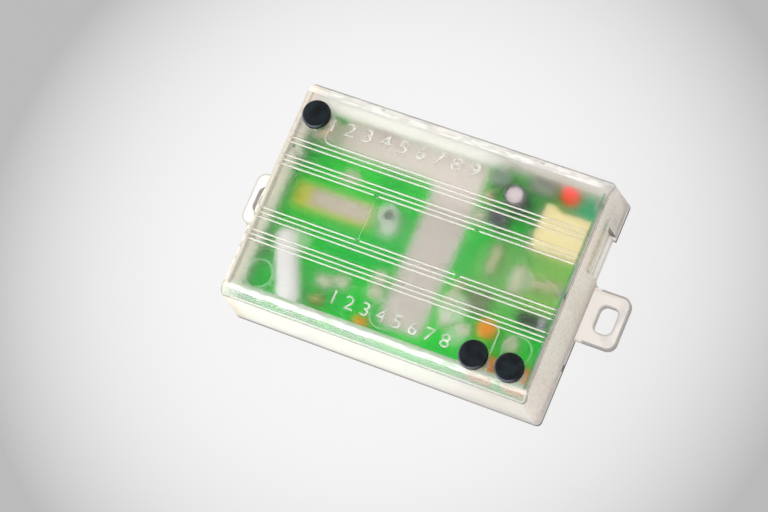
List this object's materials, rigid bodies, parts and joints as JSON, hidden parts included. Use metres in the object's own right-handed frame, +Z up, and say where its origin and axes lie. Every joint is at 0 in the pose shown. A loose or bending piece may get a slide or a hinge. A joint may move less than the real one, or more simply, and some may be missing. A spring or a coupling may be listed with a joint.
{
  "type": "vehicle proximity sensor",
  "caption": "Frosted clear snap-together sensor box with slotted mounting tabs, a circuit board inside, adjusters under rubber plugs and a side connector window.",
  "frame": {"origin": "middle of the underside, midway between the ends of the two mounting tabs, where it rests", "axes": "+X along the length towards the connector end, +Y towards the back edge with the rear plug, +Z up"},
  "size_m": [0.0914, 0.0534, 0.0192],
  "materials": {
    "frosted_cover": "fine frosted moulded plastic",
    "frosted_base": "fine frosted moulded plastic",
    "solder_mask": "green solder mask",
    "tinned_foil": "dull tin plating",
    "ceramic": "fired ceramic with a silvered face",
    "cream_nylon": "moulded nylon",
    "tinned_metal": "bright tin",
    "red_lens": "diffused red epoxy",
    "bare_aluminium": "satin",
    "dark_sleeve": "shrunk film",
    "white_sleeve": "heat shrink sleeve",
    "beige_lacquer": "lacquer with colour bands",
    "orange_epoxy": "dipped epoxy",
    "orange_ceramic": "dipped ceramic",
    "black_mould": "fine moulded epoxy",
    "banded_mould": "black body with a pale band",
    "pale_chip": "ceramic with tinned ends",
    "solder": "bright solder",
    "black_rubber": "soft satin rubber",
    "orange_plastic": "moulded plastic",
    "grey_plastic": "moulded plastic",
    "pale_rotor": "moulded plastic"
  },
  "bodies": {
    "housing": {"adjuster_body_inner": "orange_plastic", "adjuster_body_outer": "orange_plastic", "adjuster_body_rear": "grey_plastic", "base": "frosted_base", "capacitor_can": "bare_aluminium", "capacitor_sleeve": "dark_sleeve", "chip_parts": "pale_chip", "circuit_board": "solder_mask", "comparator_ic": "black_mould", "component_leads": "tinned_metal", "cover": "frosted_cover", "disc_capacitors": "orange_ceramic", "driver_transistor": "black_mould", "ground_plate": "tinned_foil", "header_housing": "cream_nylon", "header_pins": "tinned_metal", "indicator_light": "red_lens", "patch_antenna": "tinned_foil", "protection_diode": "banded_mould", "rectifier_diode": "black_mould", "resistors": "beige_lacquer", "resonator": "ceramic", "sleeved_choke": "white_sleeve", "solder_joints": "solder", "switch_transistor": "black_mould", "tantalum_capacitor": "orange_epoxy"},
    "rear_plug": {"access_plug_rear": "black_rubber"},
    "rear_rotor": {"adjuster_rotor_rear": "pale_rotor"},
    "inner_plug": {"access_plug_inner": "black_rubber"},
    "inner_rotor": {"adjuster_rotor_inner": "pale_rotor"},
    "outer_plug": {"access_plug_outer": "black_rubber"},
    "outer_rotor": {"adjuster_rotor_outer": "pale_rotor"}
  },
  "joints": [
    {"name": "rear_plug_lift", "type": "slide", "parent": "housing", "child": "rear_plug", "axis": [0, 0, 1], "range_m": [0, 0.012]},
    {"name": "rear_adjuster_turn", "type": "hinge", "parent": "housing", "child": "rear_rotor", "pos_m": [-0.0325, 0.0187, 0.0096], "axis": [0, 0, 1], "range_deg": [-130, 130]},
    {"name": "inner_plug_lift", "type": "slide", "parent": "housing", "child": "inner_plug", "axis": [0, 0, 1], "range_m": [0, 0.012]},
    {"name": "inner_adjuster_turn", "type": "hinge", "parent": "housing", "child": "inner_rotor", "pos_m": [0.0219, -0.02, 0.0096], "axis": [0, 0, 1], "range_deg": [-130, 130]},
    {"name": "outer_plug_lift", "type": "slide", "parent": "housing", "child": "outer_plug", "axis": [0, 0, 1], "range_m": [0, 0.012]},
    {"name": "outer_adjuster_turn", "type": "hinge", "parent": "housing", "child": "outer_rotor", "pos_m": [0.0303, -0.02, 0.0096], "axis": [0, 0, 1], "range_deg": [-130, 130]}
  ]
}
